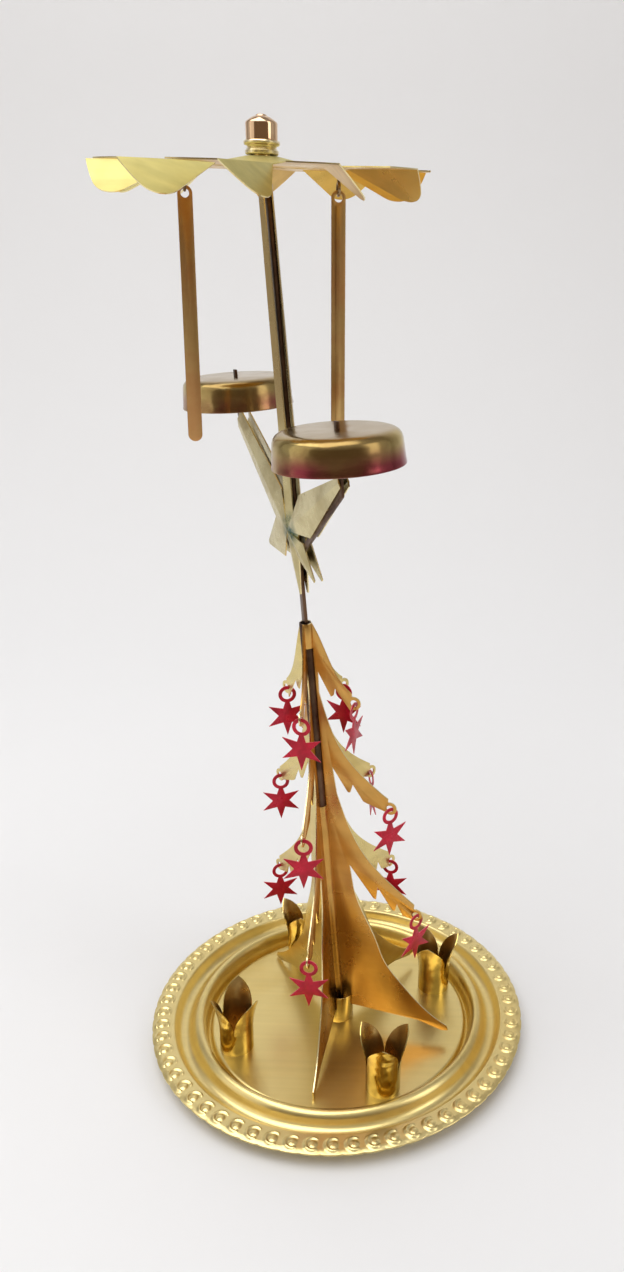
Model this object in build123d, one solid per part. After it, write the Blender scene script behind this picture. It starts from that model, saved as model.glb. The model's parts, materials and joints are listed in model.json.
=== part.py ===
from build123d import *
import math
import os

# Angel chime carousel in millimetres and degrees.
# The origin is on the table under the middle of the tray, +Z is up and -Y faces the viewer.

# Driving dimensions of the tray, whose rings are counted inwards from its edge
tray_radius = 77.0
tray_sheet = 0.5
tray_floor_lift = 2.5
tray_edge_width = 2.2
tray_edge_drop = 0.6
tray_rim_width = 6.8
tray_rim_height = 7.4
tray_wall_width = 1.8
tray_channel_width = 4.4
tray_channel_height = 2.8
tray_crest_fall = 2.2
tray_crest_width = 3.6
tray_crest_rise = 1.4
tray_crest_height = 8.2
tray_groove_width = 0.7
tray_step_width = 0.7
bead_count = 62
bead_inset = 4.0
bead_ball_radius = 2.3
bead_stand = 0.8
scallop_cut_radius = 1.5
scallop_cut_depth = 0.35

# Candle cups
cup_inset = 8.4
cup_first_azimuth = 27.0
cup_outer_radius = 6.75
cup_wall = 0.4
cup_floor = 0.5
cup_notch_height = 9.2
cup_height = 26.0
petal_tip_radius = 10.5
petal_count = 3
petal_belly_share = 0.36
petal_flare_share = 0.28
petal_azimuths = {"right": 12.0, "back": 152.0, "left": 93.0, "front": 269.0}

# Rivets that hold the cups and the tree socket to the tray
rivet_shank_radius = 1.2
rivet_head_radius = 2.2
rivet_head_height = 0.12
rivet_clearance = 0.03

# Tree socket and tree tube
socket_outer_radius = 5.7
socket_wall = 0.45
socket_height = 12.2
slot_clearance = 0.25
tube_outer_radius = 2.2
tube_wall = 0.45
tube_foot_gap = 0.25

# Tree, which leans to the left and a little forwards
lean_left = 4.15
lean_forward = 1.2
tree_height = 177.8
tree_foot_inset = 5.2
tree_sheet = 0.5
knuckle_clearance = 0.05
knuckle_top_height = 9.5
knuckle_window_low = 102.3
vane_azimuths = {"front": -97.0, "right": -16.6, "back": 50.0, "left": 131.0}
branch_tip_radius = 2.6
hanger_hole_radius = 1.4
tip_radius_shares = (0.352, 0.596, 0.767)
tip_height_shares = (0.827, 0.5855, 0.32)

# Red star pendants
pendant_sheet = 0.4
pendant_star_radius = 8.5
pendant_inner_radius = 3.4
pendant_ring_radius = 3.45
pendant_ring_bore = 2.05
pendant_neck_width = 1.7
pendant_drop = 8.9
pendant_hang_gap = 0.25
pendant_points = 6
pendant_turns = {
    "front": (-3.0, 10.0, 5.0),
    "right": (-5.0, -38.0, -30.0),
    "back": (20.0, -30.0, 30.0),
    "left": (-25.0, -30.0, -25.0),
}

# Pole rod, needle and star figure
rod_width = 2.9
rod_thickness = 1.2
rod_foot_drop = 59.5
needle_rise = 126.5
needle_reach = 14.5
needle_radius = 0.6
needle_cone_length = 3.0
needle_seat_depth = 6.0
figure_azimuth = -61.5
figure_rise = 35.0
figure_sheet = 0.45
figure_ridge = 1.6
figure_pole_gap = 1.5
figure_pole_low_width = 7.0
figure_pole_top_width = 3.7
figure_gap = 0.1
ray_angles = (144.1, 28.2, -38.7, -82.0, -158.0)
ray_lengths = (56.5, 52.0, 23.1, 23.1, 26.9)
ray_widths = (14.7, 15.4, 8.5, 8.0, 15.0)
ray_shoulders = (13.0, 16.0, 10.0, 9.0, 12.5)
ray_tip_widths = (8.5, 3.4, 1.0, 1.0, 1.6)
figure_hub_radius = 6.5
figure_hub_sides = 12

# Bell arm and bells
bell_radius = 20.5
bell_top_radius = 16.2
bell_wall_radius = 19.8
bell_sheet = 0.45
bell_depth = 10.8
bell_shoulder = 3.4
bell_shoulder_share = 0.29
bell_rim_rises = {"left": 37.6, "right": 29.8}
arm_width = 2.3
arm_thickness = 0.9
arm_foot_drop = 11.2
arm_knee_rises = {"left": 34.2, "right": 20.6}
bell_pin_radius = 0.8
bell_pin_clearance = 0.08
bell_tab_height = 2.2
bell_seat_gap = 0.1

# Rotor, its bearing and its cap
rotor_radius = 52.2
rotor_sheet = 0.4
rotor_drop = 11.1
rotor_tilt = 3.5
blade_count = 10
blade_first_azimuth = 213.6
blade_flap_angle = 19.5
blade_root_radius = 26.2
blade_corner_radius = 7.0
blade_bend = 45.0
cone_radius = 17.0
cone_top_radius = 5.0
cone_height = 2.5
rotor_bore_clearance = 0.06
collar_radius = 5.6
collar_height = 3.9
collar_waist = 4.6
cap_radius = 4.9
cap_height = 7.4
cap_wall = 0.5
cap_shoulder_height = 5.2
cap_button_radius = 1.6
bearing_radius = 2.6
bearing_bore_radius = 1.8
bearing_seat_radius = 0.25
bearing_skirt = 1.6
bearing_roof = 1.0
bearing_point_gap = 0.05
bearing_seat_depth = 3.0

# Strikers and the wire hooks that carry them
hook_radius = 23.8
hook_offset_angle = 19.6
hook_wire_radius = 0.45
hook_eye_radius = 1.9
hook_bar_length = 3.4
hook_hole_radius = 0.8
hook_seat_gap = 0.1
hook_stem_length = 6.0
striker_length = 78.0
striker_width = 4.6
striker_sheet = 0.5
striker_ridge_width = 1.6
striker_ridge_height = 0.5
striker_hole_radius = 1.3
striker_gap = 0.4
cut_overrun = 1.0
node_folder = "parts"


def polar(radius, azimuth, height=0.0):
    angle = math.radians(azimuth)
    return Vector(radius * math.cos(angle), radius * math.sin(angle), height)


floor_height = tray_floor_lift + tray_sheet
tray_edge_start = tray_radius - tray_edge_width
tray_wall_end = tray_edge_start - tray_rim_width
tray_channel_end = tray_wall_end - tray_wall_width
tray_channel_start = tray_channel_end - tray_channel_width
tray_crest_end = tray_channel_start - tray_crest_fall
tray_crest_start = tray_crest_end - tray_crest_width
tray_groove_end = tray_crest_start - tray_crest_rise
tray_groove_start = tray_groove_end - tray_groove_width
tray_floor_radius = tray_groove_start - tray_step_width
bead_circle_radius = tray_radius - bead_inset
cup_circle_radius = tray_floor_radius - cup_inset
tree_foot_radius = tray_floor_radius - tree_foot_inset
figure_height = tree_height + figure_rise
rod_foot_height = tree_height - rod_foot_drop
needle_tip_height = figure_height + needle_rise
rod_top_height = needle_tip_height - needle_reach
figure_pole_top = rod_top_height - figure_pole_gap
arm_foot_height = figure_height - arm_foot_drop
lean_axis = Vector(-math.tan(math.radians(lean_left)), -math.tan(math.radians(lean_forward)), 1)
tree_plane = Plane(
    origin=(0, 0, floor_height),
    x_dir=(lean_axis.Z, 0, -lean_axis.X),
    z_dir=lean_axis,
)
tree_frame = Location(tree_plane)
needle_tip = tree_plane.from_local_coords(Vector(0, 0, needle_tip_height))
rotor_frame = Location((needle_tip.X, needle_tip.Y, floor_height))
rotor_plane_height = needle_tip.Z - floor_height - rotor_drop


def normal_of(start, end):
    """Direction to the lower side of one run of a profile."""
    run = math.hypot(end[0] - start[0], end[1] - start[1])
    return (end[1] - start[1]) / run, (start[0] - end[0]) / run


def lower_line(points, thickness):
    """Line at an even distance under a profile, mitred at its corners."""
    normals = [normal_of(*pair) for pair in zip(points, points[1:])]
    before, after = [normals[0], *normals], [*normals, normals[-1]]
    line = []
    for point, one, two in zip(points, before, after):
        stretch = thickness / (1 + one[0] * two[0] + one[1] * two[1])
        line.append((point[0] + (one[0] + two[0]) * stretch, point[1] + (one[1] + two[1]) * stretch))
    return line


def revolved_sheet(points, thickness):
    """Sheet of even thickness turned about Z from its upper line."""
    lower = lower_line(points, thickness)
    return revolve(Plane.XZ * make_face(Polyline(*points, *lower[::-1], close=True)), Axis.Z)


def tray_profile():
    return [
        (0, floor_height),
        (tray_floor_radius, floor_height),
        (tray_groove_start, tray_sheet),
        (tray_groove_end, tray_sheet),
        (tray_crest_start, tray_crest_height),
        (tray_crest_end, tray_crest_height),
        (tray_channel_start, tray_channel_height),
        (tray_channel_end, tray_channel_height),
        (tray_wall_end, tray_rim_height),
        (tray_edge_start, tray_rim_height),
        (tray_radius, tray_rim_height - tray_edge_drop),
    ]


def base_plate():
    plate = revolved_sheet(tray_profile(), tray_sheet)
    sink = tray_rim_height + bead_stand - bead_ball_radius
    ring = PolarLocations(bead_circle_radius, bead_count)
    ball = Sphere(bead_ball_radius)
    above = Pos(0, 0, sink) * ball
    keep = Pos(0, 0, tray_rim_height - tray_sheet / 2) * Cylinder(
        bead_ball_radius, bead_ball_radius, align=(Align.CENTER, Align.CENTER, Align.MIN)
    )
    bead = above & keep
    plate = plate + [place * bead for place in ring]
    notch = Cylinder(scallop_cut_radius, tray_rim_height * 2 + cut_overrun)
    notch_radius = tray_radius + scallop_cut_radius - scallop_cut_depth
    half_step = 180 / bead_count
    plate = plate - [place * notch for place in PolarLocations(notch_radius, bead_count, half_step)]
    hole = Cylinder(rivet_shank_radius + rivet_clearance, floor_height * 2 + cut_overrun)
    plate = plate - hole
    for azimuth in cup_azimuths().values():
        plate = plate - Pos(polar(cup_circle_radius, azimuth)) * hole
    return plate


def cup_azimuths():
    names = ("right", "back", "left", "front")
    return {name: cup_first_azimuth + 90 * turn for turn, name in enumerate(names)}


def petal_prism():
    """Pointed leaf outline pushed outwards along +X."""
    half_width = cup_outer_radius * math.sin(math.pi / petal_count) + cup_wall
    rise = cup_height - cup_notch_height
    belly = Vector(half_width * (1 - petal_belly_share / 2), cup_notch_height + rise / 2)
    mirror_belly = Vector(-belly.X, belly.Y)
    outline = [
        Line((-half_width, 0), (half_width, 0)),
        Line((half_width, 0), (half_width, cup_notch_height)),
        ThreePointArc((half_width, cup_notch_height), belly, (0, cup_height)),
        ThreePointArc((0, cup_height), mirror_belly, (-half_width, cup_notch_height)),
        Line((-half_width, cup_notch_height), (-half_width, 0)),
    ]
    face = Plane.YZ * make_face(outline)
    return extrude(face, petal_tip_radius + cut_overrun)


def cup_shell():
    """Straight tube with a floor that flares into the petals."""
    inner = cup_outer_radius - cup_wall
    middle_height = (cup_notch_height + cup_height) / 2
    bulge = (petal_tip_radius - cup_outer_radius) * petal_flare_share
    outer_arc = ThreePointArc(
        (cup_outer_radius, cup_notch_height),
        (cup_outer_radius + bulge, middle_height),
        (petal_tip_radius, cup_height),
    )
    inner_arc = ThreePointArc(
        (petal_tip_radius - cup_wall, cup_height),
        (inner + bulge, middle_height),
        (inner, cup_notch_height),
    )
    rest = Polyline(
        (inner, cup_notch_height),
        (inner, cup_floor),
        (0, cup_floor),
        (0, 0),
        (cup_outer_radius, 0),
        (cup_outer_radius, cup_notch_height),
    )
    top = Line((petal_tip_radius, cup_height), (petal_tip_radius - cup_wall, cup_height))
    face = Plane.XZ * make_face([outer_arc, top, inner_arc, *rest.edges()])
    return revolve(face, Axis.Z)


def candle_cup(name):
    petals = Cylinder(
        petal_tip_radius, cup_notch_height, align=(Align.CENTER, Align.CENTER, Align.MIN)
    )
    prism = petal_prism()
    for turn in range(petal_count):
        petals = petals + Rot(0, 0, 360 / petal_count * turn) * prism
    cup = cup_shell() & petals
    cup = cup - Cylinder(rivet_shank_radius + rivet_clearance, cup_height)
    place = polar(cup_circle_radius, cup_azimuths()[name], floor_height)
    return Pos(place) * Rot(0, 0, petal_azimuths[name]) * cup


def rivet():
    """Shank through the tray and one floor, with a head on each side."""
    grip = tray_sheet + cup_floor
    shank = Pos(0, 0, tray_floor_lift) * Cylinder(
        rivet_shank_radius, grip, align=(Align.CENTER, Align.CENTER, Align.MIN)
    )
    head = Cylinder(
        rivet_head_radius, rivet_head_height, align=(Align.CENTER, Align.CENTER, Align.MIN)
    )
    lower = Pos(0, 0, tray_floor_lift - rivet_head_height) * head
    upper = Pos(0, 0, tray_floor_lift + grip) * head
    return shank + lower + upper


def tray_rivets():
    rivets = [rivet()]
    for azimuth in cup_azimuths().values():
        rivets.append(Pos(polar(cup_circle_radius, azimuth)) * rivet())
    return Compound(children=rivets)


def tree_socket():
    bottom = (Align.CENTER, Align.CENTER, Align.MIN)
    tube = Cylinder(socket_outer_radius, socket_height, align=bottom)
    tube = tube - Pos(0, 0, cup_floor) * Cylinder(
        socket_outer_radius - socket_wall, socket_height, align=bottom
    )
    tube = tube - Cylinder(rivet_shank_radius + rivet_clearance, socket_height)
    tube = Pos(0, 0, floor_height) * tube
    for azimuth in vane_azimuths.values():
        tube = tube - vane(azimuth, tree_sheet + 2 * slot_clearance, slot_clearance)
    return tube


def tree_tube():
    foot = cup_floor + rivet_head_height + tube_foot_gap + tube_outer_radius * math.tan(
        math.radians(lean_left)
    )
    length = tree_height - foot
    bottom = (Align.CENTER, Align.CENTER, Align.MIN)
    tube = Cylinder(tube_outer_radius, length, align=bottom)
    tube = tube - Cylinder(tube_outer_radius - tube_wall, length, align=bottom)
    return tree_frame * Pos(0, 0, foot) * tube


def share_points(shares):
    return [(tree_foot_radius * out, tree_height * up) for out, up in shares]


# Right-hand edge of a vane from the top to the foot, as shares of foot radius and height
tier_edge_shares = (
    ((0.052, 1.0), (0.122, 0.958), (0.175, 0.918), (0.231, 0.884), (0.340, 0.848)),
    ((0.067, 0.846), (0.108, 0.795), (0.235, 0.705), (0.377, 0.657), (0.585, 0.608)),
    ((0.148, 0.607), (0.192, 0.560), (0.327, 0.467), (0.596, 0.383), (0.757, 0.346)),
)
tier_finger_shares = (
    ((0.330, 0.805), (0.204, 0.858), (0.188, 0.842), (0.165, 0.838), (0.073, 0.893)),
    (
        *((0.575, 0.575), (0.400, 0.592), (0.371, 0.596), (0.292, 0.634)),
        *((0.265, 0.614), (0.245, 0.614), (0.127, 0.672)),
    ),
    (
        *((0.735, 0.308), (0.650, 0.314), (0.606, 0.342), (0.583, 0.323), (0.560, 0.325)),
        *((0.444, 0.380), (0.423, 0.346), (0.400, 0.349), (0.210, 0.429)),
    ),
)
skirt_edge_shares = (
    *((0.229, 0.367), (0.285, 0.311), (0.390, 0.238), (0.463, 0.176)),
    *((0.617, 0.116), (0.773, 0.067), (0.99, 0.024)),
)
skirt_foot_shares = ((1.0, 0.012), (0.94, 0.010), (0.733, 0.027), (0.154, 0.037))


def vane_face(grow):
    """One flat branch of the tree, standing in the X-Z plane and reaching out along +X."""
    inner = tube_outer_radius + knuckle_clearance
    edges = []
    last = Vector(inner, tree_height)
    for edge_shares, finger_shares in zip(tier_edge_shares, tier_finger_shares):
        outer = share_points(edge_shares)
        edges.append(Line(last, outer[0]))
        edges.append(Spline(*outer))
        fingers = share_points(finger_shares)
        edges.append(Line(outer[-1], fingers[0]))
        edges.extend(Polyline(*fingers).edges())
        last = Vector(*fingers[-1])
    skirt = share_points(skirt_edge_shares)
    foot = share_points(skirt_foot_shares)
    edges.append(Line(last, skirt[0]))
    edges.append(Spline(*skirt))
    edges.append(Line(skirt[-1], foot[0]))
    edges.extend(Polyline(*foot).edges())
    edges.append(Line(foot[-1], (inner, foot[-1][1])))
    edges.append(Line((inner, foot[-1][1]), (inner, tree_height)))
    face = make_face(edges)
    for place in branch_tips():
        face = face + Pos(*place) * Circle(branch_tip_radius)
        face = face - Pos(*place) * Circle(hanger_hole_radius)
    if grow:
        face = face + Pos(0, -grow) * face
    return face


def branch_tips():
    return share_points(zip(tip_radius_shares, tip_height_shares))


def vane(azimuth, thickness, grow=0.0):
    face = Plane.XZ * vane_face(grow)
    sheet = extrude(face, thickness / 2, both=True)
    return tree_frame * Rot(0, 0, azimuth) * sheet


def knuckle(start_azimuth, end_azimuth, low, high):
    """Half round strip that joins two vanes round the tube."""
    inner = tube_outer_radius + knuckle_clearance
    outer = inner + tree_sheet
    angle = end_azimuth - start_azimuth
    strip = make_face(
        Polyline((inner, low), (outer, low), (outer, high), (inner, high), close=True)
    )
    strip = revolve(Plane.XZ * strip, Axis.Z, revolution_arc=angle)
    return tree_frame * Rot(0, 0, start_azimuth) * strip


def tree_sheet_front():
    start, end = vane_azimuths["front"], vane_azimuths["right"]
    low = share_points(skirt_foot_shares)[-1][1]
    sheet = vane(start, tree_sheet) + vane(end, tree_sheet)
    sheet = sheet + knuckle(start, end, low, knuckle_window_low)
    return sheet + knuckle(start, end, tree_height - knuckle_top_height, tree_height)


def tree_sheet_back():
    start, end = vane_azimuths["back"], vane_azimuths["left"]
    low = share_points(skirt_foot_shares)[-1][1]
    sheet = vane(start, tree_sheet) + vane(end, tree_sheet)
    return sheet + knuckle(start, end, low, tree_height)


def star_outline(radius, inner_radius, points):
    corners = []
    for turn in range(points * 2):
        reach = radius if turn % 2 == 0 else inner_radius
        corners.append(polar(reach, 90 + turn * 180 / points))
    return make_face(Polyline(*corners, close=True))


def pendant_flat():
    """Star, neck and ring of one stamping, hanging in the X-Z plane with the ring at the origin."""
    star = Pos(0, -pendant_drop) * star_outline(
        pendant_star_radius, pendant_inner_radius, pendant_points
    )
    ring = Circle(pendant_ring_radius)
    neck_length = pendant_drop - pendant_ring_bore - pendant_inner_radius
    neck_middle = -pendant_ring_bore - neck_length / 2
    face = star + ring + Pos(0, neck_middle) * Rectangle(pendant_neck_width, neck_length)
    face = face - Circle(pendant_ring_bore)
    return extrude(Plane.XZ * face, pendant_sheet / 2, both=True)


def hanger_point(side, tier):
    """World place where a pendant's ring bears on the lower edge of its hole."""
    radius, height = branch_tips()[tier]
    spot = tree_frame * Rot(0, 0, vane_azimuths[side]) * Pos(radius, 0, height - hanger_hole_radius)
    return spot.position


def pendant(side, tier):
    place = hanger_point(side, tier)
    centre = place + Vector(0, 0, pendant_hang_gap - pendant_ring_bore)
    turn = vane_azimuths[side] + 90 + pendant_turns[side][tier]
    return Pos(centre) * Rot(0, 0, turn) * pendant_flat()


def figure_frame():
    return tree_frame * Rot(0, 0, figure_azimuth)


def pole_rod():
    bottom = (Align.CENTER, Align.CENTER, Align.MIN)
    height = rod_top_height - rod_foot_height
    rod = Box(rod_width, rod_thickness, height, align=bottom)
    rod = rod - Pos(0, 0, height - needle_seat_depth) * Cylinder(
        needle_radius, needle_seat_depth, align=bottom
    )
    return figure_frame() * Pos(0, 0, rod_foot_height) * rod


def needle():
    bottom = (Align.CENTER, Align.CENTER, Align.MIN)
    foot = rod_top_height - needle_seat_depth
    straight = needle_tip_height - needle_cone_length - foot
    shaft = Cylinder(needle_radius, straight, align=bottom)
    tip = Pos(0, 0, straight) * Cone(needle_radius, 0, needle_cone_length, align=bottom)
    return tree_frame * Pos(0, 0, foot) * (shaft + tip)


def leaf(corners):
    """Flat piece of sheet through three or four corners, thickened towards the middle plane."""
    face = Face(Wire.make_polygon([Vector(*corner) for corner in corners], close=True))
    inward = Vector(0, 1, 0)
    return extrude(face, figure_sheet, dir=inward)


def ray(angle, length, width, shoulder, tip_width):
    """Kite shaped ray with a raised middle line and a blunt tip, seen from the figure's centre."""
    ridge = -figure_ridge
    share = tip_width / width
    fall = length * (1 - share) / (length - shoulder * share)
    solid = None
    for side in (-1 / 2, 1 / 2):
        corners = [
            (0, ridge, 0),
            (shoulder, 0, side * width),
            (length, 0, side * tip_width),
            (length, ridge * (1 - fall), 0),
        ]
        half = leaf(corners)
        solid = half if solid is None else solid + half
    return Pos(0, 0, figure_height) * Rot(0, -angle, 0) * solid


def pole_ray():
    """Long upper ray that covers the rod as far as the needle."""
    ridge = -figure_ridge
    low, high = figure_pole_low_width / 2, figure_pole_top_width / 2
    solid = None
    for side in (-1, 1):
        corners = [
            (0, ridge, figure_height),
            (side * low, 0, figure_height),
            (side * high, 0, figure_pole_top),
            (0, ridge * high / low, figure_pole_top),
        ]
        half = leaf(corners)
        solid = half if solid is None else solid + half
    return solid


def figure_hub():
    """Low many-sided cone that joins the rays at the figure's centre."""
    cone = None
    for turn in range(figure_hub_sides):
        step = 360 / figure_hub_sides
        start, end = (polar(figure_hub_radius, step * (turn + extra)) for extra in (0, 1))
        facet = leaf([(0, -figure_ridge, 0), (start.X, 0, start.Y), (end.X, 0, end.Y)])
        cone = facet if cone is None else cone + facet
    return Pos(0, 0, figure_height) * cone


def star_shell(offset):
    """Stamped half of the star figure whose edges lie at -Y from the middle plane."""
    shell = pole_ray() + figure_hub()
    for turn in range(len(ray_angles)):
        sizes = ray_lengths[turn], ray_widths[turn], ray_shoulders[turn], ray_tip_widths[turn]
        shell = shell + ray(ray_angles[turn], *sizes)
    return Pos(0, -offset, 0) * shell


def arm_offset():
    return rod_thickness / 2 + figure_gap / 2 + arm_thickness / 2


def star_front_shell():
    offset = arm_offset() + arm_thickness / 2 + figure_gap + figure_sheet
    return figure_frame() * star_shell(offset)


def star_back_shell():
    offset = rod_thickness / 2 + figure_gap + figure_sheet
    return figure_frame() * mirror(star_shell(offset), Plane.XZ)


def bell_reach(side):
    """Distance along the arm at which a bell clears the circle swept by the strikers."""
    clear = hook_radius + striker_width / 2 + striker_gap + bell_radius
    height = bell_rim_height(side)
    sign = -1 if side == "left" else 1
    frame = Plane(figure_frame())
    start = frame.from_local_coords(Vector(0, -arm_offset(), height)) - needle_tip
    along = frame.from_local_coords(Vector(sign, -arm_offset(), height)) - needle_tip - start
    dot = start.X * along.X + start.Y * along.Y
    size = along.X**2 + along.Y**2
    rest = start.X**2 + start.Y**2 - clear**2
    return sign * (-dot + math.sqrt(dot**2 - size * rest)) / size


def bell_rim_height(side):
    return figure_height + bell_rim_rises[side]


def bell_crown_height(side):
    return bell_rim_height(side) + bell_depth


def arm_knee_height(side):
    return figure_height + arm_knee_rises[side]


def strip_face(points, width):
    """Flat strip of one width along a chain of straight runs."""
    face = None
    for start, end in zip(points, points[1:]):
        run = Vector(*end) - Vector(*start)
        middle = (Vector(*end) + Vector(*start)) * 0.5
        angle = math.degrees(math.atan2(run.Y, run.X))
        piece = Pos(middle.X, middle.Y) * Rot(0, 0, angle) * Rectangle(run.length, width)
        face = piece if face is None else face + piece
    for corner in points[1:-1]:
        face = face + Pos(*corner) * Circle(width / 2)
    return face


def bell_arm():
    foot = (0, arm_foot_height)
    points = []
    for side in ("left", "right"):
        reach = bell_reach(side)
        seat = bell_crown_height(side) - bell_sheet - bell_seat_gap
        ends = [(reach, seat), (reach, arm_knee_height(side))]
        points = points + ends + [foot] if side == "left" else points + ends[::-1]
    arm = extrude(Plane.XZ * strip_face(points, arm_width), arm_thickness / 2, both=True)
    bottom = (Align.CENTER, Align.CENTER, Align.MIN)
    pin_length = bell_sheet + 2 * bell_seat_gap
    for side in ("left", "right"):
        seat = bell_crown_height(side) - bell_sheet - bell_seat_gap
        place = Pos(bell_reach(side), 0, seat)
        pin = Cylinder(bell_pin_radius, pin_length, align=bottom)
        tab = Pos(0, 0, pin_length) * Box(arm_width, arm_thickness, bell_tab_height, align=bottom)
        arm = arm + place * (pin + tab)
    return figure_frame() * Pos(0, -arm_offset(), 0) * arm


def bell_section(radius_loss, height_loss):
    """Half outline of a bell from its crown to its rim, moved in by the sheet."""
    top = bell_depth - height_loss
    wall = bell_wall_radius - radius_loss
    flat = bell_top_radius - radius_loss * (1 - bell_shoulder_share)
    shoulder = top - bell_shoulder
    middle = (
        flat + (wall - flat) * (1 - bell_shoulder_share),
        top - bell_shoulder * bell_shoulder_share,
    )
    arc = ThreePointArc((flat, top), middle, (wall, shoulder))
    side = Line((wall, shoulder), (bell_radius - radius_loss, 0))
    return top, flat, arc, side


def bell(side):
    outer_top, outer_flat, outer_arc, outer_side = bell_section(0, 0)
    inner_top, inner_flat, inner_arc, inner_side = bell_section(bell_sheet, bell_sheet)
    hole = bell_pin_radius + bell_pin_clearance
    edges = [
        Line((hole, outer_top), (outer_flat, outer_top)),
        outer_arc,
        outer_side,
        Line((bell_radius, 0), (bell_radius - bell_sheet, 0)),
        inner_side,
        inner_arc,
        Line((inner_flat, inner_top), (hole, inner_top)),
        Line((hole, inner_top), (hole, outer_top)),
    ]
    solid = revolve(Plane.XZ * make_face(edges), Axis.Z)
    place = Pos(bell_reach(side), -arm_offset(), bell_rim_height(side))
    return figure_frame() * place * solid


def blade_corner():
    """Middle of the rounded outer corner, with the blade's free edge along +X."""
    reach = math.sqrt((rotor_radius - blade_corner_radius) ** 2 - blade_corner_radius**2)
    return Vector(reach, -blade_corner_radius)


def blade_flap_face():
    """Part of a blade outside its skew fold, in the flat, with its free edge along +X."""
    centre = blade_corner()
    leave = math.degrees(math.atan2(centre.Y, centre.X))
    half_turn = math.radians((leave + 90) / 2)
    halfway = centre + Vector(math.cos(half_turn), math.sin(half_turn)) * blade_corner_radius
    turn_end = Vector(centre.X, 0)
    start = polar(rotor_radius, -blade_flap_angle)
    middle = polar(rotor_radius, (leave - blade_flap_angle) / 2)
    edges = [
        Line((blade_root_radius, 0), start),
        ThreePointArc(start, middle, polar(rotor_radius, leave)),
        ThreePointArc(polar(rotor_radius, leave), halfway, turn_end),
        Line(turn_end, (blade_root_radius, 0)),
    ]
    return make_face(edges)


def blade_level_face():
    """Part of a blade between the cut beside it and its own skew fold."""
    step = 360 / blade_count
    fold_end = -blade_flap_angle
    corner = polar(cone_radius, -step)
    edges = [
        Line(corner, polar(rotor_radius, -step)),
        ThreePointArc(
            polar(rotor_radius, -step),
            polar(rotor_radius, (fold_end - step) / 2),
            polar(rotor_radius, fold_end),
        ),
        Line(polar(rotor_radius, fold_end), (blade_root_radius, 0)),
        Line((blade_root_radius, 0), (cone_radius, 0)),
        Line((cone_radius, 0), corner),
    ]
    return make_face(edges)


def rotor_hub():
    """Flat ring and raised middle of the rotor sheet."""
    bore = bearing_radius + rotor_bore_clearance
    upper = [
        (bore, cone_height + rotor_sheet),
        (cone_top_radius, cone_height + rotor_sheet),
        (cone_radius, rotor_sheet),
        (cone_radius + rotor_sheet, rotor_sheet),
    ]
    return revolved_sheet(upper, rotor_sheet)


def rotor_place():
    """Frame of the blades, tipped towards the viewer on the bearing."""
    pivot = rotor_plane_height + cone_height
    return rotor_frame * Pos(0, 0, pivot) * Rot(rotor_tilt, 0, 0) * Pos(0, 0, -cone_height)


def rotor():
    fold_start = Vector(blade_root_radius, 0)
    fold = Axis(fold_start, polar(rotor_radius, -blade_flap_angle) - fold_start)
    flap = extrude(blade_flap_face(), -rotor_sheet).rotate(fold, -blade_bend)
    blade = extrude(blade_level_face(), -rotor_sheet) + flap
    blade = Pos(0, 0, rotor_sheet) * blade
    wheel = rotor_hub()
    for turn in range(blade_count):
        azimuth = blade_first_azimuth + turn * 360 / blade_count
        wheel = wheel + Rot(0, 0, azimuth) * blade
    for side in hook_azimuths():
        spot = polar(hook_radius, hook_azimuths()[side])
        wheel = wheel - Pos(spot) * Cylinder(hook_hole_radius, rotor_sheet * 2 + cut_overrun)
    return rotor_place() * wheel


def hook_azimuths():
    left = blade_first_azimuth - hook_offset_angle
    return {"left": left, "right": left - 180}


def collar_base():
    return rotor_plane_height + cone_height + rotor_sheet + cap_seat_rise()


def cap_seat_rise():
    """Room that the tipped blades need below the upright collar."""
    return cone_top_radius * math.sin(math.radians(rotor_tilt))


def rotor_collar():
    """Turned brass ring with a flare above and below its waist."""
    third = collar_height / 3
    outline = Polyline(
        (bearing_radius, 0),
        (cone_top_radius, 0),
        (collar_radius, third),
        (collar_waist, third * 2),
        (collar_radius, collar_height),
        (bearing_radius, collar_height),
        close=True,
    )
    ring = revolve(Plane.XZ * make_face(outline), Axis.Z)
    return rotor_frame * Pos(0, 0, collar_base()) * ring


def cap_outline(radius, shoulder, top):
    button = cap_button_radius
    edges = [
        Line((0, 0), (radius, 0)),
        Line((radius, 0), (radius, shoulder)),
        Line((radius, shoulder), (button, top)),
        Line((button, top), (0, top)),
        Line((0, top), (0, 0)),
    ]
    return revolve(Plane.XZ * make_face(edges), Axis.Z)


def rotor_cap():
    shell = cap_outline(cap_radius, cap_shoulder_height, cap_height)
    inner = cap_outline(
        cap_radius - cap_wall, cap_shoulder_height - cap_wall, cap_height - cap_wall
    )
    return rotor_frame * Pos(0, 0, collar_base() + collar_height) * (shell - inner)


def bearing_cup():
    """Deep cup that hangs the rotor on the needle's point."""
    bottom = (Align.CENTER, Align.CENTER, Align.MIN)
    point = needle_tip.Z - floor_height + bearing_point_gap
    foot = rotor_plane_height - bearing_skirt
    length = point + bearing_roof - foot
    cup = Cylinder(bearing_radius, length, align=bottom)
    straight = point - bearing_seat_depth - foot
    cup = cup - Cylinder(bearing_bore_radius, straight, align=bottom)
    seat = Cone(bearing_bore_radius, bearing_seat_radius, bearing_seat_depth, align=bottom)
    return rotor_frame * Pos(0, 0, foot) * (cup - Pos(0, 0, straight) * seat)


def hook_spot(side):
    """Top of the rotor sheet above a hook's hole."""
    spot = rotor_place() * Pos(polar(hook_radius, hook_azimuths()[side], rotor_sheet))
    return spot.position


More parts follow.
